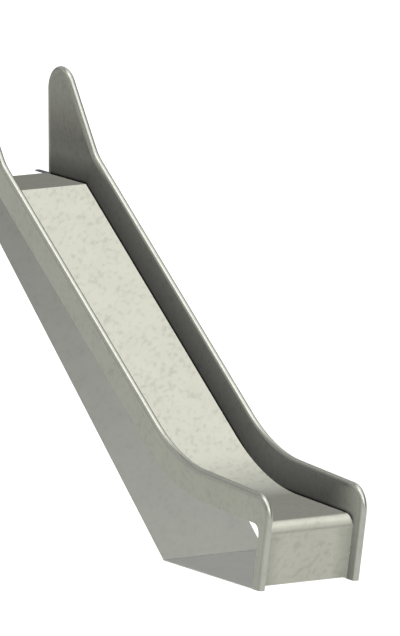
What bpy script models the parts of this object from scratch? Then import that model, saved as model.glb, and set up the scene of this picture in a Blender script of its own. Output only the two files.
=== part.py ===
"""Embankment slide of stainless steel sheet, laid on a slope between a crest and level ground.

A level start platform, a straight chute, a curved run-out and a rounded nose with its apron lie
between two side panels. Each side panel is a channel 35 mm thick: an inner cheek sheet, a rolled
rim and an outer band sheet, drawn up into a tall rounded ear beside the platform and turned down
into a leaning leg at the front. A ground plate, notched between the legs, a sloping base plate and
two anchor bars carry it.

Units are metres, +Z is up, +X is across the chute, and the slide runs down towards -Y. The origin
is the middle of the ground plate's underside. Side views are drawn in (run, height): run is the
level distance downhill from the heel, the line where the sloping plate meets the ground plate.
"""

import math

import bmesh
import bpy
from mathutils import Vector

COLLECTION = "embankment_slide"

# Widths and thicknesses
INNER_WIDTH = 0.500
SIDE_THICKNESS = 0.035
SHEET = 0.003
PLATE = 0.005
GAP = 0.0003

# Riding surface
PLATFORM_HEIGHT = 1.604
PLATFORM_BACK_RUN = -2.130
SLOPE_HEIGHT_AT_HEEL = 0.4053
SLOPE_ANGLE = 34.86
RUNOUT_HEIGHT = 0.3315
RUNOUT_HEIGHT_RUN = 0.920
RUNOUT_ANGLE = 1.8
PLATFORM_EDGE_RADIUS = 0.006
CURVE_RADIUS = 1.140
NOSE_RADIUS = 0.060
APRON_FOOT_RUN = 0.885
APRON_FOOT_HEIGHT = 0.0106

# Centre line of the rolled rim
RIM_RADIUS = SIDE_THICKNESS / 2
RIM_RISE = 0.160
RIM_SKIRT = 0.012
EAR_BACK_RUN = -2.103
EAR_FRONT_RUN = -1.8974
EAR_FRONT_HEIGHT = 2.1008
EAR_FRONT_ANGLE = 55.0
EAR_TOP_RADIUS = 0.113
EAR_BLEND_RADIUS = 0.250
RIM_CURVE_RADIUS = 0.950
RIM_RUNOUT_HEIGHT = 0.4742
RIM_RUNOUT_RUN = 0.900
RIM_RUNOUT_ANGLE = 2.95
FRONT_CORNER_RADIUS = 0.100
LEG_FOOT_RUN = 0.9357
LEG_LEAN = 13.1

# Lower edge of the outer band, measured square to the rim's centre line
BAND_DROP_SLOPE = 0.132
BAND_DROP_RUNOUT = 0.140
BAND_DROP_LEG = 0.058
BAND_CURVE_RADIUS = 1.085
BAND_EAR_RADIUS = 0.100
BAND_CORNER_RADIUS = 0.045

# Plates and anchor bars
GROUND_PLATE_LENGTH = 0.8758
NOTCH_RUN = 0.822
BASE_ANGLE = 39.32
ANCHOR_WIDTH = 0.028
ANCHOR_THICKNESS = 0.006
ANCHOR_FRONT_RUN = -1.985
ANCHOR_BACK_RUN = -2.262

# Runs at which the long pieces are divided
EAR_SEAM = -1.600
CURVE_SEAM = -0.240
RUNOUT_SEAM = 0.430
FRONT_SEAM = 0.860

# How finely the round stretches are drawn
DEGREES_PER_STEP = 9.0
CURVE_DEGREES_PER_STEP = 3.0
LARGE_RADIUS = 0.5
ROLL_STEPS = 8
SHARP_ANGLE = 35.0
WELD_DISTANCE = 1e-6

HALF_WIDTH = INNER_WIDTH / 2
OUTER_HALF_WIDTH = HALF_WIDTH + SIDE_THICKNESS
ORIGIN_RUN = GROUND_PLATE_LENGTH / 2
SIDES = (("left", -1), ("right", 1))
SECTIONS = (
    ("ear", None, EAR_SEAM),
    ("slope", EAR_SEAM, CURVE_SEAM),
    ("curve", CURVE_SEAM, RUNOUT_SEAM),
    ("runout", RUNOUT_SEAM, FRONT_SEAM),
    ("front", FRONT_SEAM, None),
)

# Colours in linear light, with roughness; every piece is bare stainless steel
FINISHES = {
    "chute": ((0.66, 0.66, 0.59), 0.42),
    "platform": ((0.50, 0.50, 0.45), 0.45),
    "apron": ((0.58, 0.58, 0.51), 0.45),
    "inner_cheek": ((0.52, 0.52, 0.47), 0.40),
    "outer_band": ((0.56, 0.56, 0.49), 0.45),
    "rim": ((0.68, 0.68, 0.61), 0.28),
    "ground_plate": ((0.55, 0.55, 0.53), 0.55),
    "sloping_plate": ((0.55, 0.55, 0.53), 0.55),
    "anchor": ((0.16, 0.17, 0.20), 0.50),
}


def clear_scene():
    for item in list(bpy.data.objects):
        bpy.data.objects.remove(item, do_unlink=True)


def steel(finish):
    colour, roughness = FINISHES[finish]
    material = bpy.data.materials.get(finish) or bpy.data.materials.new(finish)
    material.use_nodes = True
    shader = material.node_tree.nodes["Principled BSDF"]
    shader.inputs["Base Color"].default_value = (*colour, 1.0)
    shader.inputs["Roughness"].default_value = roughness
    shader.inputs["Metallic"].default_value = 1.0
    return material


# Side view drawing

def line(run, height, fall):
    """A line through a point, going downhill at an angle below level, in degrees."""
    angle = math.radians(fall)
    return Vector((run, height)), Vector((math.cos(angle), -math.sin(angle)))


def beside(drawn, distance):
    """The same line moved to its right, which is down or inwards."""
    point, direction = drawn
    return point + Vector((direction.y, -direction.x)) * distance, direction


def crossing(first, second):
    (a, u), (b, v) = first, second
    along = (b - a).cross(v) / u.cross(v)
    return a + u * along


def rounded(start, corners, end):
    """A path through (corner, radius) pairs, each corner replaced by its arc."""
    points = [start]
    marks = [start, *(corner for corner, _ in corners), end]
    for before, (corner, radius), after in zip(marks, corners, marks[2:]):
        arriving = (corner - before).normalized()
        leaving = (after - corner).normalized()
        turn = arriving.angle_signed(leaving)
        reach = radius * math.tan(abs(turn) / 2)
        side = -math.copysign(1.0, turn)
        centre = corner - arriving * reach + Vector((-arriving.y, arriving.x)) * side * radius
        step = CURVE_DEGREES_PER_STEP if radius > LARGE_RADIUS else DEGREES_PER_STEP
        count = max(2, round(math.degrees(abs(turn)) / step))
        spoke = corner - arriving * reach - centre
        for index in range(count + 1):
            angle = side * abs(turn) * index / count
            points.append(centre + rotated(spoke, angle))
    points.append(end)
    return points


def rotated(vector, angle):
    return Vector((
        vector.x * math.cos(angle) - vector.y * math.sin(angle),
        vector.x * math.sin(angle) + vector.y * math.cos(angle),
    ))


def shifted(path, distance):
    """A path moved square to itself, to the right of its own direction."""
    moved = []
    for index, point in enumerate(path):
        before = path[max(index - 1, 0)]
        after = path[min(index + 1, len(path) - 1)]
        arriving = (point - before if index else after - point).normalized()
        leaving = (after - point if index < len(path) - 1 else point - before).normalized()
        normal = Vector((arriving.y + leaving.y, -arriving.x - leaving.x)).normalized()
        square = Vector((arriving.y, -arriving.x))
        moved.append(point + normal * distance / normal.dot(square))
    return moved


def ended_at(path, height):
    """The path with its last stretch made to end at a height."""
    before, last = path[-2], path[-1]
    share = (height - before.y) / (last.y - before.y)
    return path[:-1] + [before.lerp(last, share)]


def portion(path, start_run, end_run):
    """The stretch of a path between two seams; None stands for the path's own end."""
    kept = list(path)
    if start_run is not None:
        limit = start_run + GAP / 2
        first = next(i for i in range(len(kept)) if kept[i].x > limit)
        before, after = kept[first - 1], kept[first]
        kept = [before.lerp(after, (limit - before.x) / (after.x - before.x)), *kept[first:]]
    if end_run is not None:
        limit = end_run - GAP / 2
        low = min(range(len(kept)), key=lambda i: kept[i].x)
        last = next(i for i in range(low, len(kept)) if kept[i].x > limit)
        before, after = kept[last - 1], kept[last]
        kept = [*kept[:last], before.lerp(after, (limit - before.x) / (after.x - before.x))]
    return kept


PLATFORM_LINE = line(PLATFORM_BACK_RUN, PLATFORM_HEIGHT, 0)
SLOPE_LINE = line(0, SLOPE_HEIGHT_AT_HEEL, SLOPE_ANGLE)
RUNOUT_LINE = line(RUNOUT_HEIGHT_RUN, RUNOUT_HEIGHT, RUNOUT_ANGLE)
APRON_LINE = line(APRON_FOOT_RUN, APRON_FOOT_HEIGHT, 90 + LEG_LEAN)
RIM_SLOPE_LINE = beside(SLOPE_LINE, -RIM_RISE)
RIM_RUNOUT_LINE = line(RIM_RUNOUT_RUN, RIM_RUNOUT_HEIGHT, RIM_RUNOUT_ANGLE)
RIM_LEG_LINE = line(LEG_FOOT_RUN, 0, 90 + LEG_LEAN)
EAR_BACK_LINE = line(EAR_BACK_RUN, 0, -90)
EAR_FRONT_LINE = line(EAR_FRONT_RUN, EAR_FRONT_HEIGHT, EAR_FRONT_ANGLE)
UNDER_LINE = beside(PLATFORM_LINE, SHEET)
BAND_SLOPE_LINE = beside(RIM_SLOPE_LINE, BAND_DROP_SLOPE)
BAND_RUNOUT_LINE = beside(RIM_RUNOUT_LINE, BAND_DROP_RUNOUT)
BAND_LEG_LINE = beside(RIM_LEG_LINE, BAND_DROP_LEG)
UNDERSIDE_HEIGHT = PLATFORM_HEIGHT - SHEET


def bed_path():
    """The riding surface, from the platform's back edge to the apron's foot."""
    return rounded(
        PLATFORM_LINE[0],
        [
            (crossing(PLATFORM_LINE, SLOPE_LINE), PLATFORM_EDGE_RADIUS),
            (crossing(SLOPE_LINE, RUNOUT_LINE), CURVE_RADIUS),
            (crossing(RUNOUT_LINE, APRON_LINE), NOSE_RADIUS),
        ],
        APRON_LINE[0],
    )


def rim_path():
    """The rim's centre line, up the ear's back, over its top and down to the leg's foot."""
    return rounded(
        Vector((EAR_BACK_RUN, UNDERSIDE_HEIGHT)),
        [
            (crossing(EAR_BACK_LINE, EAR_FRONT_LINE), EAR_TOP_RADIUS),
            (crossing(EAR_FRONT_LINE, RIM_SLOPE_LINE), EAR_BLEND_RADIUS),
            (crossing(RIM_SLOPE_LINE, RIM_RUNOUT_LINE), RIM_CURVE_RADIUS),
            (crossing(RIM_RUNOUT_LINE, RIM_LEG_LINE), FRONT_CORNER_RADIUS),
        ],
        RIM_LEG_LINE[0],
    )


def band_edge_path():
    """The outer band's lower edge, level under the platform and down inside the leg."""
    return rounded(
        Vector((EAR_BACK_RUN + RIM_SKIRT + GAP, UNDERSIDE_HEIGHT)),
        [
            (crossing(UNDER_LINE, BAND_SLOPE_LINE), BAND_EAR_RADIUS),
            (crossing(BAND_SLOPE_LINE, BAND_RUNOUT_LINE), BAND_CURVE_RADIUS),
            (crossing(BAND_RUNOUT_LINE, BAND_LEG_LINE), BAND_CORNER_RADIUS),
        ],
        crossing(BAND_LEG_LINE, line(0, 0, 0)),
    )


# Making the pieces

def upright(path):
    """Side view points as the piece's own (x, y) corners."""
    return [(ORIGIN_RUN - point.x, point.y) for point in path]


def add_piece(name, data, finish, collection):
    piece = bpy.data.objects.new(name, data)
    data.materials.append(steel(finish))
    collection.objects.link(piece)
    return piece


def draw(curve, corners, closed):
    """Adds (x, y) corners to a curve as one polyline."""
    spline = curve.splines.new("POLY")
    spline.points.add(len(corners) - 1)
    for point, corner in zip(spline.points, corners):
        point.co = (*corner, 0.0, 1.0)
    spline.use_cyclic_u = closed


def stand_up(piece, across):
    """Turns a side view drawing upright, with its middle this far across."""
    piece.rotation_euler = (math.radians(90), 0.0, math.radians(90))
    piece.location.x = across


def cut_sheet(name, corners, thickness, finish, collection):
    """A level sheet cut to an outline, with half its thickness above its own origin."""
    curve = bpy.data.curves.new(name, "CURVE")
    curve.dimensions = "2D"
    curve.fill_mode = "BOTH"
    curve.extrude = thickness / 2
    draw(curve, corners, closed=True)
    return add_piece(name, curve, finish, collection)


def standing_sheet(name, outline, thickness, across, finish, collection):
    """A flat sheet that lies in a side view plane."""
    stand_up(cut_sheet(name, upright(outline), thickness, finish, collection), across)


def bent_sheet(name, path, half_width, finish, collection):
    """A sheet bent along a side view path that spans the chute, thickened downwards."""
    shape = bmesh.new()
    row = [shape.verts.new((-half_width, *corner)) for corner in upright(path)]
    edges = [shape.edges.new(pair) for pair in zip(row, row[1:])]
    swept = bmesh.ops.extrude_edge_only(shape, edges=edges)["geom"]
    across = [item for item in swept if isinstance(item, bmesh.types.BMVert)]
    bmesh.ops.translate(shape, verts=across, vec=(2 * half_width, 0.0, 0.0))
    if sum((face.normal.z for face in shape.faces), 0.0) < 0:
        bmesh.ops.reverse_faces(shape, faces=shape.faces)
    mesh = bpy.data.meshes.new(name)
    shape.to_mesh(mesh)
    shape.free()
    mesh.shade_smooth()
    mesh.set_sharp_from_angle(angle=math.radians(SHARP_ANGLE))
    piece = add_piece(name, mesh, finish, collection)
    wall = piece.modifiers.new("sheet", "SOLIDIFY")
    wall.thickness = SHEET
    wall.offset = -1.0
    wall.use_even_offset = True


def roll_section(collection):
    """The rolled rim's section, drawn (outwards, across): half a tube with two skirts."""
    curve = bpy.data.curves.new("roll_section", "CURVE")
    curve.dimensions = "2D"
    inner_radius = RIM_RADIUS - SHEET
    angles = [math.pi * index / ROLL_STEPS for index in range(ROLL_STEPS + 1)]
    corners = [(math.sin(a) * RIM_RADIUS, math.cos(a) * RIM_RADIUS) for a in angles]
    corners += [(-RIM_SKIRT, -RIM_RADIUS), (-RIM_SKIRT, -inner_radius)]
    corners += [(math.sin(a) * inner_radius, math.cos(a) * inner_radius) for a in reversed(angles)]
    corners += [(-RIM_SKIRT, inner_radius), (-RIM_SKIRT, RIM_RADIUS)]
    draw(curve, corners, closed=True)
    guide = bpy.data.objects.new("roll_section", curve)
    guide.hide_render = True
    guide.display_type = "WIRE"
    collection.objects.link(guide)
    return guide


def rolled_rim(name, path, section, across, collection):
    """A stretch of rolled rim swept along a side view path and cut off level at the ground."""
    curve = bpy.data.curves.new(name, "CURVE")
    curve.dimensions = "3D"
    curve.bevel_mode = "OBJECT"
    curve.bevel_object = section
    curve.use_fill_caps = True
    curve.twist_mode = "MINIMUM"
    draw(curve, upright(path), closed=False)
    swept = bpy.data.objects.new(name + "_sweep", curve)
    collection.objects.link(swept)
    stand_up(swept, across)
    bpy.context.view_layer.update()
    mesh = bpy.data.meshes.new_from_object(swept.evaluated_get(bpy.context.evaluated_depsgraph_get()))
    mesh.transform(swept.matrix_world)
    bpy.data.objects.remove(swept)
    shape = bmesh.new()
    shape.from_mesh(mesh)
    bmesh.ops.remove_doubles(shape, verts=shape.verts, dist=WELD_DISTANCE)
    everything = [*shape.verts, *shape.edges, *shape.faces]
    bmesh.ops.bisect_plane(
        shape, geom=everything, plane_co=(0, 0, 0), plane_no=(0, 0, -1), clear_outer=True
    )
    open_edges = [edge for edge in shape.edges if edge.is_boundary]
    if open_edges:
        bmesh.ops.holes_fill(shape, edges=open_edges)
    bmesh.ops.recalc_face_normals(shape, faces=shape.faces)
    shape.to_mesh(mesh)
    shape.free()
    mesh.materials.clear()
    mesh.shade_smooth()
    mesh.set_sharp_from_angle(angle=math.radians(SHARP_ANGLE))
    add_piece(name, mesh, "rim", collection)


def flat_bar(name, runs, heights, width, across, finish, collection):
    """A plain flat bar that lies along the run."""
    bpy.ops.mesh.primitive_cube_add(size=1.0)
    piece = bpy.context.object
    piece.name = name
    piece.data.name = name
    for owner in list(piece.users_collection):
        owner.objects.unlink(piece)
    collection.objects.link(piece)
    piece.data.materials.append(steel(finish))
    piece.dimensions = (width, runs[1] - runs[0], heights[1] - heights[0])
    piece.location = (across, ORIGIN_RUN - sum(runs) / 2, sum(heights) / 2)


# The slide's sub-assemblies

def make_chute(collection):
    """Platform, straight chute, curve, run-out and the rounded nose with its apron."""
    path = bed_path()
    half_width = HALF_WIDTH - GAP
    platform_end = crossing(PLATFORM_LINE, SLOPE_LINE).x + PLATFORM_EDGE_RADIUS
    stretches = (
        ("start_platform", "platform", None, platform_end),
        ("slope_bed", "chute", platform_end, CURVE_SEAM),
        ("curve_bed", "chute", CURVE_SEAM, RUNOUT_SEAM),
        ("runout_bed", "chute", RUNOUT_SEAM, FRONT_SEAM),
        ("nose_apron", "apron", FRONT_SEAM, None),
    )
    for name, finish, start_run, end_run in stretches:
        stretch = portion(path, start_run, end_run)
        bent_sheet(name, stretch, half_width, finish, collection)


def make_side(side, sign, section, collection):
    """One side panel: rolled rim, inner cheek and outer band, each in five stretches."""
    rim = rim_path()
    under_skirt = shifted(rim, RIM_SKIRT + GAP)
    under_skirt = ended_at(under_skirt, 0.0)
    under_skirt[0].y = UNDERSIDE_HEIGHT
    bed_underside = ended_at(shifted(bed_path(), SHEET), 0.0)
    bed_underside[0].x = under_skirt[0].x
    band_edge = band_edge_path()
    below_ground = RIM_LEG_LINE[0] + RIM_LEG_LINE[1] * SIDE_THICKNESS
    cheek_across = sign * (HALF_WIDTH + SHEET / 2)
    band_across = sign * (OUTER_HALF_WIDTH - SHEET / 2)
    rim_across = sign * (HALF_WIDTH + SIDE_THICKNESS / 2)
    for part, start_run, end_run in SECTIONS:
        upper = portion(under_skirt, start_run, end_run)
        cheek = upper + list(reversed(portion(bed_underside, start_run, end_run)))
        band = upper + list(reversed(portion(band_edge, start_run, end_run)))
        roll = portion(rim[:-1] + [below_ground], start_run, end_run)
        rolled_rim(f"rim_{part}_{side}", roll, section, rim_across, collection)
        cheek_name = f"inner_cheek_{part}_{side}"
        band_name = f"outer_band_{part}_{side}"
        standing_sheet(cheek_name, cheek, SHEET, cheek_across, "inner_cheek", collection)
        standing_sheet(band_name, band, SHEET, band_across, "outer_band", collection)


def make_ground_plate(collection):
    """The level plate, with a tongue at each side that runs on to the leg."""
    heel = ORIGIN_RUN
    notch = ORIGIN_RUN - NOTCH_RUN
    tongue_end = ORIGIN_RUN - GROUND_PLATE_LENGTH
    right = [
        (OUTER_HALF_WIDTH, heel),
        (OUTER_HALF_WIDTH, tongue_end),
        (HALF_WIDTH, tongue_end),
        (HALF_WIDTH, notch),
    ]
    left = [(-across, along) for across, along in reversed(right)]
    plate = cut_sheet("ground_plate", right + left, PLATE, "ground_plate", collection)
    plate.location.z = PLATE / 2


def make_base(collection):
    """Ground plate, sloping plate up to the platform, and the anchor bars behind it."""
    make_ground_plate(collection)
    seat = UNDERSIDE_HEIGHT - GAP
    lower = line(0, 0, BASE_ANGLE)
    upper = beside(lower, -PLATE)
    heel = line(-GAP, 0, 90)
    top = line(0, seat, 0)
    outline = [crossing(heel, lower), crossing(heel, upper), crossing(top, upper), crossing(top, lower)]
    standing_sheet(
        "sloping_plate", outline, 2 * OUTER_HALF_WIDTH, 0.0, "sloping_plate", collection
    )
    runs = (ANCHOR_BACK_RUN, ANCHOR_FRONT_RUN)
    heights = (seat - ANCHOR_THICKNESS, seat)
    for side, sign in SIDES:
        across = sign * (HALF_WIDTH + SIDE_THICKNESS / 2)
        flat_bar(f"anchor_bar_{side}", runs, heights, ANCHOR_WIDTH, across, "anchor", collection)


def main():
    clear_scene()
    slide = bpy.data.collections.new(COLLECTION)
    guides = bpy.data.collections.new("guides")
    bpy.context.scene.collection.children.link(slide)
    bpy.context.scene.collection.children.link(guides)
    section = roll_section(guides)
    make_chute(slide)
    for side, sign in SIDES:
        make_side(side, sign, section, slide)
    make_base(slide)


main()
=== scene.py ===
"""Dresses the embankment slide: sheet steel with rolled rims, its finishes, the light and the camera.

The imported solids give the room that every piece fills. Each visible sheet is modelled again as one
continuous piece with its bends, rolls and softened edges: the chute from platform to apron, the three
sheets of each side panel, the ground plate, the sloping plate and the two anchor bars.

Units are metres, +Z is up, +X is across the chute, and the slide runs down towards -Y. Side views are
drawn in (run, height): run is the level distance downhill from the heel, where the sloping plate
meets the ground plate, and the heel is half the ground plate's length behind the origin.
"""

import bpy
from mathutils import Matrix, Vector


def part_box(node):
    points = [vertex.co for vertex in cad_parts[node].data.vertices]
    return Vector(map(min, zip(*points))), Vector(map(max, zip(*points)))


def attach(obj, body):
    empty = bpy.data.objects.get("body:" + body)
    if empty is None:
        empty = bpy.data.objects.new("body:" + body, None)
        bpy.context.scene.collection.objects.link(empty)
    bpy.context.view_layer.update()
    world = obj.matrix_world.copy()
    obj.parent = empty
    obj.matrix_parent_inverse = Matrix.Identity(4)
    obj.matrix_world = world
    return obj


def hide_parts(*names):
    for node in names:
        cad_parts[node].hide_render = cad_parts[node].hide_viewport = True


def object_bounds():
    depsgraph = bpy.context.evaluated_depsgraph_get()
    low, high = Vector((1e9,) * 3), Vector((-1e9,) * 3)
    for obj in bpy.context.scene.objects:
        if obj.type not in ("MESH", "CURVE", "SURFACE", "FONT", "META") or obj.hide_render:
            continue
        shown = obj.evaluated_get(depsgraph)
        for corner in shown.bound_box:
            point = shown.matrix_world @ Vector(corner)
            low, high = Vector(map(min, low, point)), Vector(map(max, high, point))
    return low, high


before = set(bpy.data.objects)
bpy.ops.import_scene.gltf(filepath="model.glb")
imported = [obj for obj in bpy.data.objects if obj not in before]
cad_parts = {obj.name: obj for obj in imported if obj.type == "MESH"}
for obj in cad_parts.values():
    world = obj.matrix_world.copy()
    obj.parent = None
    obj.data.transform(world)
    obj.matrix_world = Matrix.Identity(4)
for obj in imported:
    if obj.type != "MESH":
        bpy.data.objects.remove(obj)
CAD_BOX = [list(corner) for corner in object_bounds()]

import logging
import math
from collections.abc import Callable, Iterable
from dataclasses import dataclass, replace
from enum import Enum

import bmesh
import bpy
from mathutils import Matrix, Vector

Piece = bpy.types.Object
Socket = bpy.types.NodeSocket
Span = tuple[float, float]

LOG = logging.getLogger("embankment_slide")
BODY = "root"

HEEL_TO_ORIGIN = (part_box("ground_plate")[1].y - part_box("ground_plate")[0].y) / 2
INNER_HALF_WIDTH = 0.250
SIDE_THICKNESS = 0.035
OUTER_HALF_WIDTH = INNER_HALF_WIDTH + SIDE_THICKNESS
SHEET = 0.003
PLATE = 0.005
SEAM = 0.0003
WELD = 1e-5
STEP_DEGREES = 3.0
LARGE_RADIUS = 0.5
LARGE_STEP_DEGREES = 1.0
LEAST_STEPS = 3
SMOOTH_DEGREES = 32.0
WHITE = (1.0, 1.0, 1.0, 1.0)
WHOLE = (0.0, 1.0)


class Side(Enum):
    """The two side panels, by their names in the frame's nodes."""

    LEFT = "left"
    RIGHT = "right"


class Facing(Enum):
    """The ways that the visible faces of open sheets look."""

    LEFT = (-1.0, 0.0, 0.0)
    RIGHT = (1.0, 0.0, 0.0)
    UP = (0.0, 0.0, 1.0)
    UP_AND_FORWARD = (0.0, -0.5, 1.0)


class Fade(Enum):
    """How a change runs between its start and its end, by the name of the node's own setting."""

    SMOOTH = "SMOOTHSTEP"
    EVEN = "LINEAR"


class Softbox(Enum):
    """The lit patches of the studio: the direction towards each, and its radiance."""

    OVERHEAD = ((-0.06, 0.04, 1.00), 1.22)
    OVERHEAD_RIGHT = ((0.49, 0.14, 0.86), 0.68)
    OVERHEAD_FRONT = ((0.49, -0.17, 0.86), 0.57)
    OVERHEAD_LEFT = ((-0.40, -0.21, 0.89), 1.50)
    HIGH_LEFT = ((-0.38, 0.10, 0.92), 0.71)
    HIGH_FRONT_RIGHT = ((0.49, -0.45, 0.75), 0.66)
    HIGH_FRONT = ((-0.07, -0.64, 0.76), 1.64)
    HIGH_BACK_RIGHT = ((0.49, 0.50, 0.72), 0.65)
    MIDDLE_LEFT = ((-0.69, 0.27, 0.67), 0.31)
    MIDDLE_FRONT_RIGHT = ((0.49, -0.73, 0.47), 0.06)
    MIDDLE_FRONT = ((0.10, -0.90, 0.42), 1.80)
    MIDDLE_BACK_RIGHT = ((0.49, 0.73, 0.48), 0.19)
    MIDDLE_BACK = ((-0.04, 0.82, 0.57), 0.44)
    LOW_FRONT_RIGHT = ((0.49, -0.84, 0.25), 0.18)
    LOW_LEFT = ((-0.79, 0.55, 0.27), 0.69)
    LOW_RIGHT = ((0.96, 0.05, 0.28), 0.30)
    LOW_BACK_LEFT = ((-0.43, 0.83, 0.36), 0.30)
    MIDDLE_FRONT_LEFT = ((-0.55, -0.78, 0.35), 0.60)
    LOW_FRONT_LEFT = ((-0.90, -0.35, 0.27), 0.60)

    @property
    def direction(self) -> Vector:
        """The unit vector towards the middle of the patch."""
        return Vector(self.value[0]).normalized()

    @property
    def radiance(self) -> float:
        """How bright the patch is in its middle."""
        return self.value[1]


# Side view drawing


@dataclass(frozen=True)
class Line:
    """A straight line in the side view.

    Attributes:
        run: Run of a point that the line passes through.
        height: Height of that point.
        fall: Angle below level, in degrees, of the way the line goes.
    """

    run: float
    height: float
    fall: float

    @classmethod
    def level(cls, height: float) -> "Line":
        """A level line, drawn downhill."""
        return cls(0.0, height, 0.0)

    @classmethod
    def upright(cls, run: float) -> "Line":
        """An upright line, drawn upwards."""
        return cls(run, 0.0, -90.0)

    @property
    def direction(self) -> Vector:
        """The unit vector along the line, in (run, height)."""
        return Vector((math.cos(math.radians(self.fall)), -math.sin(math.radians(self.fall))))

    def beside(self, distance: float) -> "Line":
        """The line moved square to itself, to its right, which is down or inwards on the slide."""
        way = self.direction
        return replace(self, run=self.run + way.y * distance, height=self.height - way.x * distance)

    def crossing(self, other: "Line") -> Vector:
        """Finds where two lines cross.

        Args:
            other: The line that this one crosses.

        Returns:
            The point in (run, height).
        """
        start = Vector((self.run, self.height))
        way = self.direction
        reach = Vector((other.run, other.height)) - start
        return start + way * (reach.cross(other.direction) / way.cross(other.direction))


def in_frame(point: Vector, across: float = 0.0) -> Vector:
    """Places a side view point in the slide's own frame, so far along X."""
    return Vector((across, HEEL_TO_ORIGIN - point.x, point.y))


@dataclass(frozen=True)
class SidePath:
    """A path in the side view: straight stretches whose corners may be rounded.

    Attributes:
        marks: The path's start, its corners and its end.
        radii: The radius at each corner, 0 where it is sharp.
    """

    marks: tuple[Vector, ...]
    radii: tuple[float, ...]

    @classmethod
    def along(cls, start: Line, lines: Iterable[Line], radii: Iterable[float], end: Line) -> "SidePath":
        """Draws a path along lines.

        Args:
            start: The line that the path starts on.
            lines: The lines that it follows.
            radii: The radius where each line turns into the next.
            end: The line that it ends on.

        Returns:
            The path.
        """
        chain = (start, *lines, end)
        marks = tuple(first.crossing(second) for first, second in zip(chain, chain[1:]))
        return cls(marks, tuple(radii))

    def back_along(self, other: "SidePath") -> "SidePath":
        """Goes back along a path with the same start, whose first corner and end are left sharp."""
        return SidePath(self.marks + other.marks[:0:-1], (*self.radii, 0.0, 0.0, *other.radii[:0:-1]))

    def carry(self) -> None:
        """Extrudes and spins what is selected in edit mode along the whole path."""
        here = self.marks[0]
        corners = zip(self.marks, self.marks[1:], self.marks[2:], self.radii)
        for before, corner, after, radius in corners:
            arriving = (corner - before).normalized()
            leaving = (after - corner).normalized()
            turn = arriving.angle_signed(leaving)
            bend_start = corner - arriving * radius * math.tan(abs(turn) / 2)
            extrude(in_frame(bend_start) - in_frame(here))
            here = bend_start
            if radius > 0.0:
                square = Vector((arriving.y, -arriving.x)) * math.copysign(radius, turn)
                spin(in_frame(bend_start + square), turn, radius)
                here = corner + leaving * radius * math.tan(abs(turn) / 2)
        extrude(in_frame(self.marks[-1]) - in_frame(here))


# Modelling steps


def extrude(move: Vector) -> None:
    """Extrudes what is selected by a straight move."""
    bpy.ops.mesh.extrude_region_move(TRANSFORM_OT_translate={"value": move})


def spin(centre: Vector, turn: float, radius: float) -> None:
    """Spins what is selected about a level line across the slide.

    Args:
        centre: A point on that line.
        turn: The turn in the side view, clockwise positive, in radians.
        radius: The bend's radius, which sets how finely it is drawn.
    """
    step = LARGE_STEP_DEGREES if radius > LARGE_RADIUS else STEP_DEGREES
    steps = max(LEAST_STEPS, round(math.degrees(abs(turn)) / step))
    bpy.ops.mesh.spin(steps=steps, angle=-turn, center=centre, axis=(1.0, 0.0, 0.0))


def select_all() -> None:
    """Selects the whole of the piece that is being edited."""
    bpy.ops.mesh.select_all(action="SELECT")


def start_piece(name: str) -> Piece:
    """Names the primitive that was just added, applies its place and opens it for editing.

    Args:
        name: The piece's name.

    Returns:
        The piece, in edit mode with everything selected.
    """
    piece = bpy.context.object
    piece.name = name
    piece.data.name = name
    bpy.ops.object.transform_apply(location=True, rotation=True, scale=True)
    bpy.ops.object.mode_set(mode="EDIT")
    bpy.ops.mesh.select_mode(type="VERT")
    select_all()
    return piece


def select(piece: Piece, wanted: Callable[[Vector], bool]) -> None:
    """Selects, in edit mode, the vertices whose places pass a test, and the edges between them.

    Args:
        piece: The piece that is being edited.
        wanted: The test of a vertex's place.
    """
    bpy.ops.mesh.select_mode(type="VERT")
    bpy.ops.mesh.select_all(action="DESELECT")
    shape = bmesh.from_edit_mesh(piece.data)
    for vertex in shape.verts:
        vertex.select_set(wanted(vertex.co))
    shape.select_flush(True)
    bmesh.update_edit_mesh(piece.data)


def turn_faces(piece: Piece, facing: Facing) -> None:
    """Turns an open sheet's faces so that most of their area looks one way.

    Args:
        piece: The piece that is being edited.
        facing: That way.
    """
    select_all()
    bpy.ops.mesh.remove_doubles(threshold=WELD)
    bpy.ops.mesh.normals_make_consistent(inside=False)
    shape = bmesh.from_edit_mesh(piece.data)
    way = Vector(facing.value)
    if sum(face.normal.dot(way) * face.calc_area() for face in shape.faces) < 0.0:
        bpy.ops.mesh.flip_normals()


def shade(piece: Piece) -> None:
    """Shades the active piece's bends as round and its flat faces as flat, up to their very edges.

    Args:
        piece: The piece, in object mode.
    """
    bpy.ops.object.shade_smooth_by_angle(angle=math.radians(SMOOTH_DEGREES))
    flats = piece.modifiers.new("flats", "WEIGHTED_NORMAL")
    flats.keep_sharp = True
    bpy.ops.object.modifier_apply(modifier=flats.name)
    bpy.ops.object.select_all(action="DESELECT")


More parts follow.
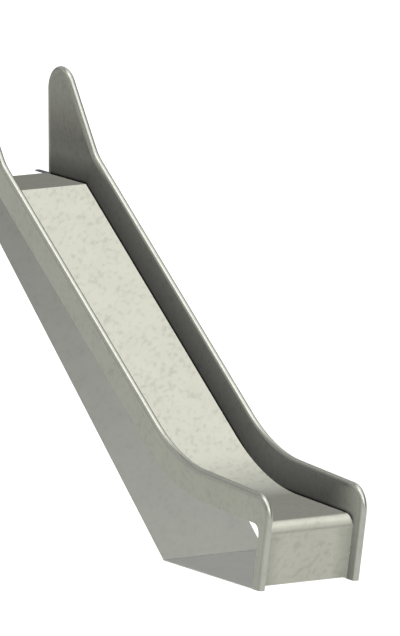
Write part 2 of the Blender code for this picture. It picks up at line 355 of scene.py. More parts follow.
@dataclass(frozen=True)
class SheetWork:
    """How a sheet's thickness and edges are made.

    Attributes:
        thickness: The sheet's thickness, set back from its visible face.
        edge: The width of the softened edge.
        edge_steps: How many facets round that edge.
        edge_angle: The least angle, in degrees, that is softened.
    """

    thickness: float = SHEET
    edge: float = 0.0008
    edge_steps: int = 2
    edge_angle: float = 50.0

    def finish(self, piece: Piece) -> None:
        """Leaves edit mode and gives an open sheet its wall and its softened edges.

        Args:
            piece: The sheet, or a solid piece where the thickness is 0.
        """
        bpy.ops.object.mode_set(mode="OBJECT")
        if self.thickness > 0.0:
            wall = piece.modifiers.new("wall", "SOLIDIFY")
            wall.thickness = self.thickness
            wall.offset = -1.0
            wall.use_even_offset = True
            bpy.ops.object.modifier_apply(modifier=wall.name)
        edges = piece.modifiers.new("edges", "BEVEL")
        edges.width = self.edge
        edges.segments = self.edge_steps
        edges.limit_method = "ANGLE"
        edges.angle_limit = math.radians(self.edge_angle)
        edges.use_clamp_overlap = True
        bpy.ops.object.modifier_apply(modifier=edges.name)
        shade(piece)


def outline_sheet(name: str, outline: SidePath, across: float, facing: Facing) -> Piece:
    """Walks one vertex round a closed side view outline and fills it.

    Args:
        name: The piece's name.
        outline: The outline, up to its last corner, which is sharp.
        across: Where the sheet's visible face lies along X.
        facing: The way that the visible face looks.

    Returns:
        The flat sheet, in edit mode.
    """
    bpy.ops.mesh.primitive_plane_add(size=SHEET, location=in_frame(outline.marks[0], across))
    piece = start_piece(name)
    bpy.ops.mesh.merge(type="CENTER")
    closed = SidePath((*outline.marks, outline.marks[0]), (*outline.radii, 0.0))
    closed.carry()
    select_all()
    bpy.ops.mesh.remove_doubles(threshold=WELD)
    bpy.ops.mesh.edge_face_add()
    turn_faces(piece, facing)
    return piece


def mirrored(piece: Piece, name: str) -> Piece:
    """Copies a finished piece to the other side of the slide, with a mesh of its own.

    Args:
        piece: The finished piece.
        name: The copy's name.

    Returns:
        The copy, with its place in its mesh.
    """
    bpy.ops.object.select_all(action="DESELECT")
    bpy.context.view_layer.objects.active = piece
    piece.select_set(True)
    bpy.ops.object.duplicate(linked=False)
    copy = bpy.context.object
    copy.name = name
    copy.data.name = name
    bpy.ops.object.mode_set(mode="EDIT")
    select_all()
    bpy.ops.mesh.customdata_custom_splitnormals_clear()
    bpy.ops.transform.resize(value=(-1.0, 1.0, 1.0), center_override=(0.0, 0.0, 0.0))
    bpy.ops.mesh.normals_make_consistent(inside=False)
    bpy.ops.object.mode_set(mode="OBJECT")
    shade(copy)
    return copy


# The slide's lines, shared by its sub-assemblies and its finishes


@dataclass(frozen=True)
class SlideLines:
    """The side view that every sub-assembly is drawn from.

    Attributes:
        platform_height: Height of the start platform.
        slope: The straight chute, by a point above the heel and its fall.
        runout: The run-out, by a point near the nose and its fall.
        apron: The apron, by its foot and its fall.
        rim_rise: How far the rim's centre line lies above the slope.
    """

    platform_height: float = 1.604
    slope: Line = Line(0.0, 0.4053, 34.86)
    runout: Line = Line(0.920, 0.3315, 1.8)
    apron: Line = Line(0.885, 0.0106, 103.1)
    rim_rise: float = 0.160

    @property
    def platform(self) -> Line:
        """The start platform, level."""
        return Line.level(self.platform_height)

    @property
    def underside(self) -> Line:
        """The underside of the platform's sheet, level."""
        return self.platform.beside(SHEET)

    @property
    def ground(self) -> Line:
        """The ground under the slide, level."""
        return Line.level(0.0)

    def chute(self) -> tuple[Line, ...]:
        """The riding surface's straight stretches, from the platform to the apron."""
        return self.platform, self.slope, self.runout, self.apron


LINES = SlideLines()


# Finishes


@dataclass(frozen=True)
class NodeBench:
    """Adds nodes to one material's or world's tree and wires them as they are added.

    Attributes:
        tree: The tree.
    """

    tree: bpy.types.NodeTree

    def add(self, kind: str, inputs: dict[str | int, object], **settings: object) -> bpy.types.Node:
        """Adds one node.

        Args:
            kind: The node's type, without the word ShaderNode.
            inputs: What each input takes.
            settings: The node's own settings.

        Returns:
            The new node.
        """
        node = self.tree.nodes.new(f"ShaderNode{kind}")
        for name, value in settings.items():
            setattr(node, name, value)
        self.feed(node, inputs)
        return node

    def feed(self, node: bpy.types.Node, inputs: dict[str | int, object]) -> None:
        """Gives a node's inputs what they take.

        Args:
            node: The node.
            inputs: What each input takes: a socket to link, or a value to set.
        """
        for key, value in inputs.items():
            if isinstance(value, Socket):
                self.tree.links.new(value, node.inputs[key])
            else:
                node.inputs[key].default_value = value

    def place(self) -> Socket:
        """The place on the slide, in metres."""
        return self.add("TexCoord", {}).outputs["Object"]

    def calculate(self, operation: str, *values: object) -> Socket:
        """The result of a math node on sockets or numbers."""
        return self.add("Math", dict(enumerate(values)), operation=operation).outputs["Value"]

    def noise(self, place: Socket, scale: float, detail: float) -> Socket:
        """A noise from 0 to 1, by its lumps in a metre and its octaves of finer lumps."""
        inputs = {"Vector": place, "Scale": scale, "Detail": detail}
        return self.add("TexNoise", inputs).outputs["Fac"]

    def ramp(self, value: Socket, span: Span, result: Span = WHOLE, fade: Fade = Fade.SMOOTH) -> Socket:
        """Maps a value from one range to another.

        Args:
            value: The value.
            span: Where the change starts and ends.
            result: The result before and after it.
            fade: How the change runs between the two.

        Returns:
            The mapped value.
        """
        inputs = {"Value": value, "From Min": span[0], "From Max": span[1]}
        inputs |= {"To Min": result[0], "To Max": result[1]}
        return self.add("MapRange", inputs, interpolation_type=fade.value).outputs["Result"]

    def axis(self, name: str) -> Socket:
        """The place's measure along one axis."""
        return self.add("SeparateXYZ", {0: self.place()}).outputs[name]

    def aside(self) -> Socket:
        """How far the place lies to either side of the slide's middle."""
        return self.calculate("ABSOLUTE", self.axis("X"))

    def run(self) -> Socket:
        """The run of the place."""
        return self.calculate("SUBTRACT", HEEL_TO_ORIGIN, self.axis("Y"))

    def height(self) -> Socket:
        """The height of the place."""
        return self.axis("Z")

    def off_line(self, line: Line) -> Socket:
        """Measures how far the place lies off a side view line.

        Args:
            line: The line.

        Returns:
            The distance to the line's left, which is up or outwards.
        """
        way = line.direction
        normal = Vector((0.0, way.y, way.x))
        reach = in_frame(Vector((line.run, line.height))).dot(normal)
        measured = self.add("VectorMath", {0: self.place(), 1: normal}, operation="DOT_PRODUCT")
        return self.calculate("SUBTRACT", measured.outputs["Value"], reach)


@dataclass(frozen=True)
class Steel:
    """Bare steel sheet: short dull marks lie slanting over faint clouds, on a fine grain.

    Attributes:
        name: The finish's name.
        slot: The record's material slot for its pieces; not used.
        colour: Mean reflected colour in linear light.
        roughness: Roughness between the marks.
        marking: How far a mark darkens the colour, as a share.
        clouding: How far a cloud darkens it.
        cloud_scale: How fine the clouds are, in waves in a metre.
        cloud_span: The clouds' noise between which a cloud fades in.
        sparse_span: The clouds' noise between which the marks come out in full.
        sparse_share: How strong the marks are where they are weakest.
        mark_scale: How fine the marks are, in waves in a metre.
        mark_length: How many times longer than wide a mark is.
        mark_turn: The turn of the marks' own axes, in degrees; they are longest along the second one.
        mark_span: The noise between which a mark fades in.
        mark_roughness: How much rougher a mark is.
        grain: Height of the fine grain's bump, in metres.
        grain_scale: Grains in a metre.
    """

    name: str
    slot: str
    colour: tuple[float, float, float]
    roughness: float
    marking: float
    clouding: float = 0.03
    cloud_scale: float = 7.0
    cloud_span: Span = (0.35, 0.65)
    sparse_span: Span = (0.30, 0.60)
    sparse_share: float = 0.5
    mark_scale: float = 42.0
    mark_length: float = 2.0
    mark_turn: tuple[float, float, float] = (35.0, 0.0, -60.0)
    mark_span: Span = (0.46, 0.74)
    mark_roughness: float = 0.05
    grain: float = 0.00003
    grain_scale: float = 420.0

    def material(self) -> bpy.types.Material:
        """Finds this finish's material, or builds it the first time."""
        return bpy.data.materials.get(self.name) or self.build()

    def build(self) -> bpy.types.Material:
        """Builds the material's nodes.

        Returns:
            The new material.
        """
        material = bpy.data.materials.new(self.name)
        material.use_nodes = True
        bench = NodeBench(material.node_tree)
        place = bench.place()
        clouds = bench.noise(place, self.cloud_scale, detail=2.0)
        turn = tuple(math.radians(angle) for angle in self.mark_turn)
        slanting = {"Vector": place, "Rotation": turn, "Scale": (1.0, self.mark_length, 1.0)}
        slanted = bench.add("Mapping", slanting, vector_type="TEXTURE").outputs["Vector"]
        marks = bench.ramp(bench.noise(slanted, self.mark_scale, detail=1.0), self.mark_span)
        strength = bench.ramp(clouds, self.sparse_span, (self.sparse_share, 1.0))
        marks = bench.calculate("MULTIPLY", marks, strength)
        clean = bench.ramp(clouds, self.cloud_span, (1.0, 1.0 - self.clouding))
        marked = bench.calculate("MULTIPLY_ADD", marks, -self.marking, clean)
        # The finish's painted shade darkens the marked colour.
        share = bench.calculate("MULTIPLY", marked, self.painted_shade(bench))
        tint = bench.add("VectorMath", {0: self.colour, "Scale": share}, operation="SCALE")
        roughness = bench.calculate("MULTIPLY_ADD", marks, self.mark_roughness, self.roughness)
        grain = bench.noise(place, self.grain_scale, detail=2.0)
        bump = bench.add("Bump", {"Height": grain, "Distance": self.grain})
        surface = {
            "Base Color": tint.outputs["Vector"],
            "Metallic": self.shine(bench),
            "Roughness": roughness,
            "Specular IOR Level": 0.0,
            "Normal": bump.outputs["Normal"],
        }
        bench.feed(material.node_tree.nodes["Principled BSDF"], surface)
        return material

    def shine(self, bench: NodeBench) -> Socket | float:
        """How far the place shines as metal; a finish without a painted black crevice does all over."""
        return 1.0

    def painted_shade(self, bench: NodeBench) -> Socket | float:
        """The share of the colour that painted shade leaves; a finish without painted shade keeps all
        of it.
        """
        return 1.0

    def dress(self, piece: Piece, replaced: Iterable[str]) -> None:
        """Gives a piece this finish and lets it stand for solids of the frame.

        Args:
            piece: The finished piece.
            replaced: The names of the solids that it stands for.
        """
        piece.data.materials.clear()
        piece.data.materials.append(self.material())
        piece.visible_glossy = False
        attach(piece, BODY)
        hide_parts(*replaced)
        LOG.info("%s: %d faces, %s", piece.name, len(piece.data.polygons), self.name)


@dataclass(frozen=True)
class ShadedCheekSteel(Steel):
    """Steel whose colour is darkened as painted shade, darkest along the joint with the chute.

    Attributes:
        valley: How softly the painted shade turns with the chute's curve, in metres.
        nose: How softly it turns with the chute's nose.
        reach: How far above the chute the painted shade lightens out.
        shares: Shares of the colour that the painted shade leaves at the chute, and at its reach.
        ear_reach: How far above the platform the painted shade lightens, up the ear.
        ear_shares: Shares that are left at the platform, and at that reach.
        joint: Height of the darker painted shade line along the joint itself.
        joint_share: What that line leaves of the colour that the rest of the painted shade has left.
        joint_heights: Heights between which it fades down the nose.
        apron_share: What it leaves there.
        front: Runs between which the painted shade lifts, ever faster, towards the open front end.
        front_share: Share of the colour that is left there, where the painted shade has lifted.
        front_blend: How softly the painted shade gives way to the lighter front end.
        crevice: Height of the black crevice in that line, painted shade that doesn't shine.
        wall: Depths in the sheet between which its inner face turns into its outer one.
        outer_share: Share of the colour that is left on the outer face, which has no painted shade.
    """

    valley: float = 0.10
    nose: float = 0.14
    reach: float = 0.45
    shares: Span = (0.10, 0.76)
    ear_reach: float = 0.13
    ear_shares: Span = (0.055, 0.41)
    joint: float = 0.022
    joint_share: float = 0.08
    joint_heights: Span = (0.330, 0.275)
    apron_share: float = 0.95
    front: Span = (0.52, 1.00)
    front_share: float = 0.92
    front_blend: float = 0.15
    crevice: float = 0.015
    wall: Span = (SHEET / 4, SHEET / 2)
    outer_share: float = 0.90

    def above_chute(self, bench: NodeBench) -> Socket:
        """Measures how far the place lies above the chute, or in front of its apron.

        Args:
            bench: The material's nodes.

        Returns:
            The distance, in metres.
        """
        platform, slope, runout, apron = (bench.off_line(line) for line in LINES.chute())
        valley = bench.calculate("SMOOTH_MIN", slope, runout, self.valley)
        above = bench.calculate("MAXIMUM", platform, valley)
        return bench.calculate("SMOOTH_MAX", above, apron, self.nose)

    def outer_face(self, bench: NodeBench) -> Socket:
        """Tells the sheet's two faces apart: 0 on its inner face and 1 on its outer one."""
        within = bench.calculate("SUBTRACT", bench.aside(), INNER_HALF_WIDTH)
        return bench.ramp(within, self.wall)

    def shine(self, bench: NodeBench) -> Socket | float:
        """Keeps the crevice from shining, which paints it black as shade in the joint; it ends beside
        the apron.

        Args:
            bench: The material's nodes.

        Returns:
            How far the place shines as metal.
        """
        # The crevice is painted black, as shade in the joint.
        clear = bench.ramp(self.above_chute(bench), (0.0, self.crevice))
        low = bench.ramp(bench.height(), self.joint_heights)
        clear = bench.calculate("MAXIMUM", clear, low)
        return bench.calculate("MAXIMUM", clear, self.outer_face(bench))

    def painted_shade(self, bench: NodeBench) -> Socket | float:
        """The share of the colour that the painted shade leaves.

        Args:
            bench: The material's nodes.

        Returns:
            The share.
        """
        above = self.above_chute(bench)
        platform = bench.off_line(LINES.platform)
        # Painted shade, darkest at the chute and at the platform, lighter the higher above them.
        shade_left = bench.ramp(above, (0.0, self.reach), self.shares, Fade.EVEN)
        ear = bench.ramp(platform, (0.0, self.ear_reach), self.ear_shares, Fade.EVEN)
        shade_left = bench.calculate("MAXIMUM", shade_left, ear)
        # The painted shade lifts towards the open front end.
        open_end = bench.ramp(bench.run(), self.front, fade=Fade.EVEN)
        front_lift = bench.calculate("MULTIPLY", bench.calculate("MULTIPLY", open_end, open_end), self.front_share)
        left = bench.calculate("SMOOTH_MAX", shade_left, front_lift, self.front_blend)
        # A darker painted shade line along the joint, fading down the nose.
        shares = (self.joint_share, self.apron_share)
        share = bench.ramp(bench.height(), self.joint_heights, shares)
        joint = bench.calculate("MAXIMUM", bench.ramp(above, (0.0, self.joint)), share)
        inner = bench.calculate("MULTIPLY", left, joint)
        outer = bench.calculate("MULTIPLY", self.outer_face(bench), self.outer_share)
        return bench.calculate("MAXIMUM", inner, outer)


@dataclass(frozen=True)
class ShadedRimSteel(Steel):
    """The rims' steel, painted darker down both sides of the roll as painted shade, like the sheets
    there, so that the crown stands out as a painted highlight.

    Attributes:
        turn: How far in from a side face the painted shade has faded out.
        inner_share: Share of the colour that the painted shade leaves beside the cheek.
        outer_share: Share of the colour that the painted shade leaves beside the band.
        leg: Runs between which the inner painted shade lightens towards the leg.
        ear: Heights between which it lightens up the ear.
        open_turn: How far in the painted shade has faded out, where it has lightened.
        open_share: Share of the colour that it leaves beside the cheek there.
    """

    turn: float = 0.008
    inner_share: float = 0.22
    outer_share: float = 0.70
    leg: Span = (0.86, 0.98)
    ear: Span = (1.62, 1.76)
    open_turn: float = 0.003
    open_share: float = 0.55

    def painted_shade(self, bench: NodeBench) -> Socket | float:
        """The share of the colour that the painted shade leaves.

        Args:
            bench: The material's nodes.

        Returns:
            The share.
        """
        # The painted shade beside the cheek lightens towards the leg and up the ear.
        on_leg = bench.ramp(bench.run(), self.leg)
        on_ear = bench.ramp(bench.height(), self.ear)
        openness = bench.calculate("MAXIMUM", on_leg, on_ear)
        turn = bench.ramp(openness, WHOLE, (self.turn, self.open_turn), Fade.EVEN)
        share = bench.ramp(openness, WHOLE, (self.inner_share, self.open_share), Fade.EVEN)
        from_inner = bench.calculate("SUBTRACT", bench.aside(), INNER_HALF_WIDTH)
        from_outer = bench.calculate("SUBTRACT", SIDE_THICKNESS, from_inner)
        left = []
        sides = ((from_inner, turn, share), (from_outer, self.turn, self.outer_share))
        # Painted shade down each side of the roll; the crown keeps its full colour, a painted
        # highlight.
        for inwards, reach, kept in sides:
            way_round = bench.calculate("DIVIDE", inwards, reach)
            unshaded = bench.calculate("SQRT", bench.ramp(way_round, WHOLE, fade=Fade.EVEN))
            shaded_part = bench.calculate("MULTIPLY", kept, bench.calculate("SUBTRACT", 1.0, unshaded))
            left.append(bench.calculate("ADD", unshaded, shaded_part))
        return bench.calculate("MULTIPLY", *left)


@dataclass(frozen=True)
class ShadedApronSteel(Steel):
    """The chute's steel, painted darker towards the two sides of the apron as painted shade where it
    meets the legs.

    Attributes:
        sides: Distances from the slide's middle between which the painted shade darkens it.
        side_share: Share of the colour that is left at the sides.
        heights: Heights between which the painted shade sets in, down the nose.
    """

    sides: Span = (0.15, 0.25)
    side_share: float = 0.68
    heights: Span = (0.30, 0.24)

    def painted_shade(self, bench: NodeBench) -> Socket | float:
        """The share of the colour that the painted shade leaves."""
        # Painted shade darkens the chute towards the apron's sides, down the nose.
        dull = bench.ramp(bench.aside(), self.sides, (0.0, self.side_share - 1.0), Fade.EVEN)
        return bench.calculate("MULTIPLY_ADD", dull, bench.ramp(bench.height(), self.heights), 1.0)


@dataclass(frozen=True)
class ShadedPlateSteel(Steel):
    """Steel painted darker the higher it lies, as painted shade under the chute, which closes in
    towards the top.

    Attributes:
        heights: The heights between which it darkens.
        top_share: The share of the colour that is left at the top.
    """

    heights: Span = (0.0, 1.6)
    top_share: float = 0.63

    def painted_shade(self, bench: NodeBench) -> Socket | float:
        """The share of the colour that the painted shade leaves."""
        return bench.ramp(bench.height(), self.heights, (1.0, self.top_share), Fade.EVEN)


# The chute's colour is painted darker at the apron's sides, as painted shade beside the legs.
CHUTE_STEEL = ShadedApronSteel(
    "satin_chute", "chute_steel", (0.620, 0.626, 0.535), roughness=0.34, marking=0.12
)
# The cheeks' steel is given a darker colour than the band's and the chute's, as painted shade on the
# inner faces.
CHEEK_STEEL = ShadedCheekSteel(
    "shaded_cheek", "side_steel", (0.400, 0.405, 0.340), roughness=0.32, marking=0.12
)
BAND_STEEL = Steel(
    "satin_band", "side_steel", (0.462, 0.469, 0.396), roughness=0.30, marking=0.10
)
# The rims' colour is painted darker down both sides of the roll, as painted shade.
RIM_STEEL = ShadedRimSteel(
    "rolled_rim", "rim_steel", (0.590, 0.601, 0.528), roughness=0.33, marking=0.06
)
# The two plates share one steel as a lit and a shaded copy: the ground plate's is painted lighter, and
# the sloping plate's darker as painted shade under the chute.
GROUND_STEEL = Steel(
    "dull_ground_plate", "plate_steel", (0.870, 0.886, 0.828), roughness=0.34, marking=0.02
)
SLOPING_STEEL = ShadedPlateSteel(
    "shaded_sloping_plate", "plate_steel", (0.352, 0.356, 0.322), roughness=0.45, marking=0.02
)
ANCHOR_STEEL = Steel("dark_anchor", "anchor_steel", (0.16, 0.17, 0.20), roughness=0.5, marking=0.14)


# Sub-assemblies


@dataclass(frozen=True)
class Chute:
    """The riding surface: platform, straight slope, curve, run-out, round nose and apron in one sheet.

    Attributes:
        half_width: Half the sheet's width.
        platform_back: Run of the platform's back edge.
        radii: Bend radii at the platform's edge, the curve and the nose.
        lip: How far each side edge is turned down.
        lip_radius: Radius of that turn.
        lip_steps: Facets round that turn.
        finish: The sheet's finish.
        nodes: The solids that the sheet stands for.
    """

    half_width: float = INNER_HALF_WIDTH - SEAM
    platform_back: float = -2.130
    radii: tuple[float, float, float] = (0.006, 1.140, 0.060)
    lip: float = 0.0040
    lip_radius: float = 0.0030
    lip_steps: int = 5
    finish: Steel = CHUTE_STEEL
    nodes: tuple[str, ...] = ("start_platform", "slope_bed", "curve_bed", "runout_bed", "nose_apron")

    def path(self, start_run: float, below: float, foot: float) -> SidePath:
        """The riding surface in the side view, or a line below it.

        Args:
            start_run: The run that the path starts at.
            below: How far below the riding surface it lies.
            foot: The height that it ends at.

        Returns:
            The path.
        """
        lines = [line.beside(below) for line in LINES.chute()]
        edge, curve, nose = self.radii
        radii = (edge - below, curve + below, nose - below)
        return SidePath.along(Line.upright(start_run), lines, radii, Line.level(foot))

    def build(self) -> Piece:
        """Draws the sheet's cross-section and carries it down the slide.

        Returns:
            The finished sheet.
        """
        path = self.path(self.platform_back, 0.0, LINES.apron.height)
        middle = in_frame(path.marks[0]) - Vector((0.0, 0.0, self.lip / 2))
        upright = (math.radians(90), 0.0, 0.0)
        bpy.ops.mesh.primitive_plane_add(size=1.0, location=middle, rotation=upright)
        bpy.context.object.scale = (2 * self.half_width, self.lip, 1.0)
        piece = start_piece("chute_sheet")
        select(piece, lambda place: place.z > middle.z)
        bpy.ops.mesh.bevel(
            offset=self.lip_radius, segments=self.lip_steps, affect="VERTICES", clamp_overlap=False
        )
        select_all()
        bpy.ops.mesh.delete(type="ONLY_FACE")
        lowest = middle.z - self.lip / 2 + WELD
        select(piece, lambda place: place.z < lowest)
        bpy.ops.mesh.delete(type="EDGE")
        select_all()
        path.carry()
        turn_faces(piece, Facing.UP_AND_FORWARD)
        SheetWork(edge=0.0006).finish(piece)
        self.finish.dress(piece, self.nodes)
        return piece


@dataclass(frozen=True)
class SidePanel:
    """One side panel: a channel of inner cheek, rolled rim and outer band.

    Attributes:
        ear_back: Run of the rim's centre line up the ear's back.
        ear_front: A point and fall of the rim's centre line down the ear's front.
        runout: A point and fall of the rim's centre line along the run-out.
        leg: A point and fall of the rim's centre line down the leg.
        rim_radii: Bend radii at the ear's top, the ear's foot, the curve and the front corner.
        rim_skirt: How far the rim's sheet runs on past its half round.
        roll_steps: Facets of a whole round of the rim.
        band_drops: How far the band's lower edge lies from the rim's centre line along the slope, the
            run-out and the leg.
        band_radii: Bend radii of the band's lower edge at the ear, where it is sharp, at the curve and
            at the front corner.
        below_ground: How far the rim is carried past the ground before it is cut off.
        stretches: The stretches of the panel, as the frame's nodes name them.
    """

    ear_back: float = -2.103
    ear_front: Line = Line(-1.8974, 2.1008, 55.0)
    runout: Line = Line(0.900, 0.4742, 2.95)
    leg: Line = Line(0.9357, 0.0, 103.1)
    rim_radii: tuple[float, ...] = (0.113, 0.250, 0.950, 0.100)
    rim_skirt: float = 0.012
    roll_steps: int = 40
    band_drops: tuple[float, float, float] = (0.132, 0.140, 0.058)
    band_radii: tuple[float, ...] = (0.0, 1.085, 0.045)
    below_ground: float = 0.035
    stretches: tuple[str, ...] = ("ear", "slope", "curve", "runout", "front")

    def rim_lines(self) -> tuple[Line, ...]:
        """The rim's centre line: up the ear's back, down its front, the slope, the run-out, the leg."""
        slope = LINES.slope.beside(-LINES.rim_rise)
        return Line.upright(self.ear_back), self.ear_front, slope, self.runout, self.leg

    def rim_path(self, inwards: float, end: Line) -> SidePath:
        """The rim's centre line, or a line beside it.

        Args:
            inwards: How far inside the centre line.
            end: The level line that it ends on.

        Returns:
            The path, from the platform's underside round to its end.
        """
        lines = [line.beside(inwards) for line in self.rim_lines()]
        radii = [
            radius + inwards * (1.0 if before.direction.angle_signed(after.direction) < 0.0 else -1.0)
            for radius, before, after in zip(self.rim_radii, lines, lines[1:])
        ]
        return SidePath.along(LINES.underside, lines, radii, end)

    def cheek(self) -> Piece:
        """Cuts the left inner cheek, from below the rim down to the underside of the chute.

        Returns:
            The flat sheet, in edit mode.
        """
        upper = self.rim_path(self.rim_skirt + SEAM, LINES.ground)
        outline = upper.back_along(Chute().path(upper.marks[0].x, SHEET, 0.0))
        return outline_sheet("inner_cheek_left", outline, -INNER_HALF_WIDTH, Facing.RIGHT)

    def band(self) -> Piece:
        """Cuts the left outer band, from below the rim down to its own lower edge.

        Returns:
            The flat sheet, in edit mode.
        """
        upper = self.rim_path(self.rim_skirt + SEAM, LINES.ground)
        slope, runout, leg = self.band_drops
        lines = (
            LINES.underside,
            LINES.slope.beside(slope - LINES.rim_rise),
            self.runout.beside(runout),
            self.leg.beside(leg),
        )
        start = Line.upright(upper.marks[0].x)
        outline = upper.back_along(SidePath.along(start, lines, self.band_radii, LINES.ground))
        return outline_sheet("outer_band_left", outline, -OUTER_HALF_WIDTH, Facing.LEFT)

    def rim(self) -> Piece:
        """Rolls the left rim, a half round with two skirts, from the platform down to the ground.

        Returns:
            The open sheet, in edit mode.
        """
        path = self.rim_path(0.0, LINES.ground.beside(self.below_ground))
        radius = SIDE_THICKNESS / 2
        centre = in_frame(path.marks[0], -INNER_HALF_WIDTH - radius)
        bpy.ops.mesh.primitive_circle_add(vertices=self.roll_steps, radius=radius, location=centre)
        piece = start_piece("rim_left")
        select(piece, lambda place: place.y < centre.y - WELD)
        bpy.ops.mesh.delete(type="VERT")
        select(piece, lambda place: abs(place.y - centre.y) < WELD)
        extrude(Vector((0.0, -self.rim_skirt, 0.0)))
        select_all()
        path.carry()
        select_all()
        bpy.ops.mesh.bisect(plane_co=(0.0, 0.0, 0.0), plane_no=(0.0, 0.0, 1.0), clear_inner=True)
        turn_faces(piece, Facing.UP_AND_FORWARD)
        return piece

    def build(self) -> None:
        """Builds the left panel's three sheets, copies them to the right and dresses all six."""
        for make, part, finish in (
            (self.cheek, "inner_cheek", CHEEK_STEEL),
            (self.band, "outer_band", BAND_STEEL),
            (self.rim, "rim", RIM_STEEL),
        ):
            left = make()
            SheetWork().finish(left)
            right = mirrored(left, f"{part}_right")
            for piece, side in ((left, Side.LEFT), (right, Side.RIGHT)):
                finish.dress(piece, [f"{part}_{stretch}_{side.value}" for stretch in self.stretches])


@dataclass(frozen=True)
class GroundPlate:
    """The level plate, with a tongue at each side that runs on to the leg.

    Attributes:
        notch_run: Run of the plate's front edge between its tongues.
        finish: The plate's finish.
    """

    notch_run: float = 0.822
    finish: Steel = GROUND_STEEL

    def build(self) -> Piece:
        """Cuts the plate's front edge back between its tongues.

        Returns:
            The finished plate.
        """
        bpy.ops.mesh.primitive_plane_add(size=1.0, location=(0.0, 0.0, PLATE))
        bpy.context.object.scale = (2 * OUTER_HALF_WIDTH, 2 * HEEL_TO_ORIGIN, 1.0)
        piece = start_piece("ground_sheet")
        notch = HEEL_TO_ORIGIN - self.notch_run
        for place, normal in (
            ((-INNER_HALF_WIDTH, 0.0, 0.0), (1.0, 0.0, 0.0)),
            ((INNER_HALF_WIDTH, 0.0, 0.0), (1.0, 0.0, 0.0)),
            ((0.0, notch, 0.0), (0.0, 1.0, 0.0)),
        ):
            select_all()
            bpy.ops.mesh.bisect(plane_co=place, plane_no=normal)
        bpy.ops.mesh.select_mode(type="FACE")
        bpy.ops.mesh.select_all(action="DESELECT")
        shape = bmesh.from_edit_mesh(piece.data)
        for face in shape.faces:
            middle = face.calc_center_median()
            face.select_set(abs(middle.x) < INNER_HALF_WIDTH and middle.y < notch)
        bpy.ops.mesh.delete(type="FACE")
        turn_faces(piece, Facing.UP)
        SheetWork(thickness=PLATE, edge=0.0010).finish(piece)
        self.finish.dress(piece, ["ground_plate"])
        return piece


@dataclass(frozen=True)
class SlopingPlate:
    """The plate that lies on the slope, from the heel up to the platform's underside.

    Attributes:
        rise: Its angle above level, in degrees.
        finish: Its finish.
    """

    rise: float = 39.32
    finish: Steel = SLOPING_STEEL

    def build(self) -> Piece:
        """Extrudes the plate up the slope and cuts it off level under the platform.

        Returns:
            The finished plate.
        """
        lower = Line(0.0, 0.0, 180.0 + self.rise)
        seat = LINES.underside.beside(SEAM)
        heel, foot, top = Line.upright(-SEAM), LINES.ground, lower.crossing(seat)
        upper = lower.beside(PLATE)
        corners = (foot.crossing(heel), heel.crossing(upper), seat.crossing(upper), top)
        outline = SidePath(corners, (0.0, 0.0))
        piece = outline_sheet("sloping_sheet", outline, -OUTER_HALF_WIDTH, Facing.LEFT)
        SheetWork(thickness=2 * OUTER_HALF_WIDTH, edge=0.0010).finish(piece)
        self.finish.dress(piece, ["sloping_plate"])
        return piece


@dataclass(frozen=True)
class AnchorBars:
    """The two flat bars that hold the platform back to the crest.

    Attributes:
        end_radius: Radius of the corners at each bar's back end, seen from above.
        end_steps: Facets round each of them.
        finish: The bars' finish.
    """

    end_radius: float = 0.010
    end_steps: int = 6
    finish: Steel = ANCHOR_STEEL

    def build(self) -> None:
        """Rounds the left bar's back end, softens its edges, copies it to the right, dresses both."""
        low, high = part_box("anchor_bar_left")
        bpy.ops.mesh.primitive_cube_add(size=1.0, location=(low + high) / 2)
        bpy.context.object.scale = high - low
        left = start_piece("anchor_left")
        bpy.ops.mesh.select_mode(type="EDGE")
        bpy.ops.mesh.select_all(action="DESELECT")
        shape = bmesh.from_edit_mesh(left.data)
        for edge in shape.edges:
            first, second = (vertex.co for vertex in edge.verts)
            edge.select_set(first.y > low.y + WELD and abs(first.z - second.z) > WELD)
        bpy.ops.mesh.bevel(offset=self.end_radius, segments=self.end_steps, affect="EDGES")
        SheetWork(thickness=0.0, edge=0.0012).finish(left)
        right = mirrored(left, "anchor_right")
        self.finish.dress(left, ("anchor_bar_left",))
        self.finish.dress(right, ("anchor_bar_right",))


# Studio


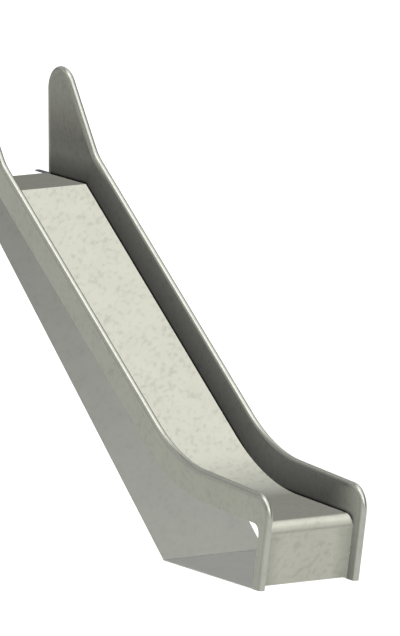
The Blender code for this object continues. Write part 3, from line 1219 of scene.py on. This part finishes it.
@dataclass(frozen=True)
class Studio:
    """The pale floor, the light all round and the camera.

    Attributes:
        floor_half_width: Half the floor's width.
        floor_drop: How far the floor lies below the slide.
        ambient: Radiance of the studio's walls.
        softbox_reach: Angle from its middle at which a lit patch has faded out, in degrees.
        floor_colour: The floor's paint, in linear light.
        floor_roughness: Its roughness.
        floor_glow: How much the floor glows, as a lit table does, which keeps its shadow faint.
        floor_lift: How much brighter it looks to the camera.
        lamp_direction: The way towards the side lamp.
        lamp_distance: How far it hangs from the slide's middle.
        lamp_size: The side of its square.
        lamp_power: Its power, in watts.
        lens: Focal length of the camera, in millimetres.
        sensor_width: Width of its sensor, in millimetres.
        azimuth: The camera's turn about Z, in degrees, from straight in front.
        elevation: Its height angle, in degrees.
        roll: Its roll, in radians.
        aim: The point that it looks at.
        distance: How far it stands from that point.
        clip_end: How far it sees.
    """

    floor_half_width: float = 60.0
    floor_drop: float = 0.0005
    ambient: float = 0.04
    softbox_reach: float = 27.0
    floor_colour: tuple[float, float, float] = (0.10, 0.10, 0.098)
    floor_roughness: float = 0.9
    floor_glow: float = 0.63
    floor_lift: float = 0.50
    lamp_direction: tuple[float, float, float] = (-0.76, -0.60, 0.24)
    lamp_distance: float = 6.0
    lamp_size: float = 5.0
    lamp_power: float = 190.0
    lens: float = 1000.0
    sensor_width: float = 36.0
    azimuth: float = -29.65775
    elevation: float = 9.88173
    roll: float = -0.00455
    aim: tuple[float, float, float] = (0.00642, 0.577, 1.17587)
    distance: float = 87.675
    clip_end: float = 400.0

    def floor(self) -> None:
        """Lays the floor, which looks white and takes only a faint shadow."""
        below = (0.0, 0.0, -self.floor_drop)
        bpy.ops.mesh.primitive_plane_add(size=2 * self.floor_half_width, location=below)
        floor = start_piece("floor")
        bpy.ops.object.mode_set(mode="OBJECT")
        material = bpy.data.materials.new("pale_floor")
        material.use_nodes = True
        bench = NodeBench(material.node_tree)
        paint = material.node_tree.nodes["Principled BSDF"]
        matt = {"Roughness": self.floor_roughness, "Specular IOR Level": 0.0}
        bench.feed(paint, {"Base Color": (*self.floor_colour, 1.0)} | matt)
        seen = bench.add("LightPath", {}).outputs["Is Camera Ray"]
        strength = bench.calculate("MULTIPLY_ADD", seen, self.floor_lift, self.floor_glow)
        glow = bench.add("Emission", {"Strength": strength}).outputs["Emission"]
        lit = bench.add("AddShader", {0: paint.outputs["BSDF"], 1: glow}).outputs["Shader"]
        bench.feed(material.node_tree.nodes["Material Output"], {"Surface": lit})
        floor.data.materials.append(material)
        bpy.ops.object.select_all(action="DESELECT")

    def light(self) -> None:
        """Fills the studio with soft light from its lit patches."""
        world = bpy.data.worlds.new("studio")
        bpy.context.scene.world = world
        world.cycles.sampling_method = "NONE"
        world.use_nodes = True
        world.node_tree.nodes.clear()
        bench = NodeBench(world.node_tree)
        way = bench.add("TexCoord", {}).outputs["Generated"]
        total: Socket | float = self.ambient
        faded = math.cos(math.radians(self.softbox_reach))
        for box in Softbox:
            towards = bench.add("VectorMath", {0: way, 1: box.direction}, operation="DOT_PRODUCT")
            glow = bench.ramp(towards.outputs["Value"], (faded, 1.0), (0.0, box.radiance))
            total = bench.calculate("ADD", glow, total)
        lit = bench.add("Background", {"Color": WHITE, "Strength": total}).outputs["Background"]
        white = bench.add("Background", {"Color": WHITE}).outputs["Background"]
        seen = bench.add("LightPath", {}).outputs["Is Camera Ray"]
        pick = bench.add("MixShader", {0: seen, 1: lit, 2: white}).outputs["Shader"]
        bench.add("OutputWorld", {"Surface": pick})

    def lamp(self) -> None:
        """Hangs a broad lamp in front of the slide, to its left, for the light on the floor."""
        data = bpy.data.lights.new("side_lamp", "AREA")
        data.size = self.lamp_size
        data.energy = self.lamp_power
        lamp = bpy.data.objects.new("side_lamp", data)
        bpy.context.scene.collection.objects.link(lamp)
        towards = Vector(self.lamp_direction).normalized()
        middle = (Vector(CAD_BOX[0]) + Vector(CAD_BOX[1])) / 2
        lamp.location = middle + towards * self.lamp_distance
        lamp.rotation_euler = towards.to_track_quat("Z", "Y").to_euler()
        lamp.visible_camera = False
        lamp.visible_glossy = False

    def camera(self) -> None:
        """Stands the camera at the photograph's viewing angle."""
        turn, tilt = math.radians(self.azimuth), math.radians(self.elevation)
        right = Vector((math.cos(turn), math.sin(turn), 0.0))
        level = Vector((math.sin(turn), -math.cos(turn), 0.0))
        back = level * math.cos(tilt) + Vector((0.0, 0.0, math.sin(tilt)))
        up = back.cross(right)
        across = right * math.cos(self.roll) + up * math.sin(self.roll)
        upright = up * math.cos(self.roll) - right * math.sin(self.roll)
        data = bpy.data.cameras.new("camera")
        data.lens = self.lens
        data.sensor_width = self.sensor_width
        data.clip_end = self.clip_end
        camera = bpy.data.objects.new("camera", data)
        bpy.context.scene.collection.objects.link(camera)
        axes = Matrix((across, upright, back)).transposed().to_4x4()
        camera.matrix_world = Matrix.Translation(Vector(self.aim) + back * self.distance) @ axes
        bpy.context.scene.camera = camera

    def build(self) -> None:
        """Sets up floor, light and camera, with colours shown as they are."""
        self.floor()
        self.light()
        self.lamp()
        self.camera()
        bpy.context.scene.view_settings.view_transform = "Standard"


def main() -> None:
    """Builds and dresses the slide, sub-assembly by sub-assembly, and sets up the studio."""
    logging.basicConfig(level=logging.INFO, format="%(name)s: %(message)s")
    bpy.ops.object.select_all(action="DESELECT")
    for sub_assembly in (Chute(), SidePanel(), GroundPlate(), SlopingPlate(), AnchorBars(), Studio()):
        sub_assembly.build()


if __name__ == "__main__":
    main()
